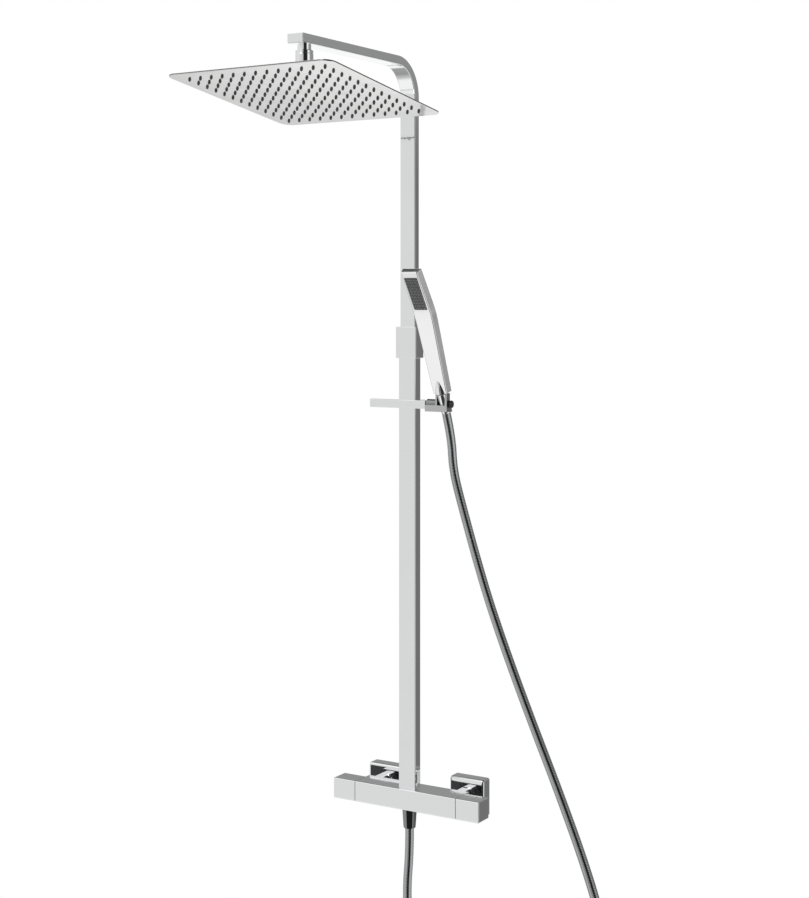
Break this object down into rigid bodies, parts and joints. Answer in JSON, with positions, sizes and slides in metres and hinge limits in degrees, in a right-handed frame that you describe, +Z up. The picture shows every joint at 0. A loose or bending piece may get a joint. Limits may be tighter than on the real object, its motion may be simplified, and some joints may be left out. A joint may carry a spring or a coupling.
{
  "type": "rainfall shower column",
  "caption": "Wall-mounted square bar shower valve with a telescopic riser, overhead arm, square tilting rain head, and a sliding holder with a flat hand shower on a hose.",
  "frame": {"origin": "midpoint between the hot and cold wall inlets, on the wall's surface", "axes": "+X to the right along the wall, +Y into the wall, +Z up along the riser"},
  "size_m": [0.4795, 0.517, 1.4922],
  "materials": {
    "polished_chrome": "mirror-polished chrome plate",
    "head_steel": "mirror-polished stainless sheet",
    "plated_plastic": "chrome-plated plastic",
    "dark_plastic": "satin dark moulding",
    "inner_plastic": "plain moulding",
    "seal_rubber": "matte rubber",
    "nozzle_silicone": "matte silicone",
    "plain_brass": "machined",
    "screw_steel": "plain stainless",
    "hose_jacket": "flexible metal spiral with a silver surface"
  },
  "bodies": {
    "valve": {"valve_body": "polished_chrome", "hot_wall_union": "polished_chrome", "cold_wall_union": "polished_chrome", "hot_escutcheon": "polished_chrome", "cold_escutcheon": "polished_chrome", "hot_union_nut": "polished_chrome", "cold_union_nut": "polished_chrome", "filter_washers": "seal_rubber", "check_valves": "inner_plastic", "mixing_cartridge": "inner_plastic", "wax_element": "plain_brass", "diverter_cartridge": "inner_plastic", "cartridge_seals": "seal_rubber", "temperature_stop_ring": "inner_plastic", "diverter_stop_ring": "inner_plastic", "outlet_nipple": "polished_chrome", "outlet_washer": "seal_rubber", "outlet_nut": "polished_chrome", "lower_hose_ferrule": "plain_brass", "hose_lower": "hose_jacket", "riser_foot": "plain_brass", "lower_tube": "polished_chrome", "riser_collar": "polished_chrome", "collar_screw": "screw_steel", "collar_seal": "seal_rubber", "bracket_stem": "polished_chrome", "bracket_plate": "polished_chrome", "bracket_screws": "screw_steel"},
    "flow_control": {"flow_knob": "polished_chrome", "diverter_spindle": "plain_brass"},
    "temperature_control": {"temperature_knob": "polished_chrome", "temperature_spindle": "plain_brass"},
    "column_top": {"overhead_arm": "polished_chrome", "arm_end_cap": "polished_chrome", "arm_bush": "polished_chrome", "connector_nut": "polished_chrome", "connector_washer": "seal_rubber", "ball_stud": "polished_chrome"},
    "head_swivel_ring": {"swivel_liner": "inner_plastic"},
    "head_tilt_ring": {"tilt_liner": "inner_plastic"},
    "rain_head": {"ball_socket": "polished_chrome", "socket_nut": "polished_chrome", "head_tray": "head_steel", "nozzle_mat": "nozzle_silicone", "head_cover": "head_steel"},
    "slider": {"slider_bar": "polished_chrome", "slider_clip": "polished_chrome", "slider_pad": "inner_plastic", "slider_screws": "screw_steel", "pivot_pin": "screw_steel", "hose_upper": "hose_jacket"},
    "holder": {"handset_holder": "plated_plastic"},
    "holder_lock": {"lock_knob": "dark_plastic"},
    "handset": {"handset_shell": "plated_plastic", "spray_panel": "dark_plastic", "handset_duct": "inner_plastic", "flow_limiter": "inner_plastic", "handset_washer": "seal_rubber", "handset_nut": "polished_chrome", "upper_hose_ferrule": "plain_brass"}
  },
  "joints": [
    {"name": "flow_turn", "type": "hinge", "parent": "valve", "child": "flow_control", "pos_m": [-0.1113, -0.067, 0], "axis": [1, 0, 0], "range_deg": [-90, 90]},
    {"name": "temperature_turn", "type": "hinge", "parent": "valve", "child": "temperature_control", "pos_m": [0.1113, -0.067, 0], "axis": [1, 0, 0], "range_deg": [-150, 40]},
    {"name": "height_slide", "type": "slide", "parent": "valve", "child": "column_top", "axis": [0, 0, 1], "range_m": [-0.1, 0.12]},
    {"name": "head_swivel", "type": "hinge", "parent": "column_top", "child": "head_swivel_ring", "pos_m": [0, -0.349, 1.081], "axis": [0, 0, 1], "continuous": true},
    {"name": "head_tilt_front", "type": "hinge", "parent": "head_swivel_ring", "child": "head_tilt_ring", "pos_m": [0, -0.349, 1.081], "axis": [0.9996, -0.0297, 0], "range_deg": [-5.9, 24.1]},
    {"name": "head_tilt_side", "type": "hinge", "parent": "head_tilt_ring", "child": "rain_head", "pos_m": [0, -0.349, 1.081], "axis": [0.0293, 0.987, -0.1582], "range_deg": [-10, 10]},
    {"name": "slider_slide", "type": "slide", "parent": "valve", "child": "slider", "axis": [0, 0, 1], "range_m": [-0.5, 0.055], "deforming": ["hose_lower"]},
    {"name": "holder_tilt", "type": "hinge", "parent": "slider", "child": "holder", "pos_m": [0.0678, -0.0775, 0.6155], "axis": [1, 0, 0], "range_deg": [-20, 25], "deforming": ["hose_upper"]},
    {"name": "lock_turn", "type": "hinge", "parent": "holder", "child": "holder_lock", "pos_m": [0.0795, -0.0775, 0.6155], "axis": [1, 0, 0], "range_deg": [-180, 180]},
    {"name": "handset_lift", "type": "slide", "parent": "holder", "child": "handset", "axis": [0, -0.3907, 0.9205], "range_m": [0, 0.045]}
  ]
}
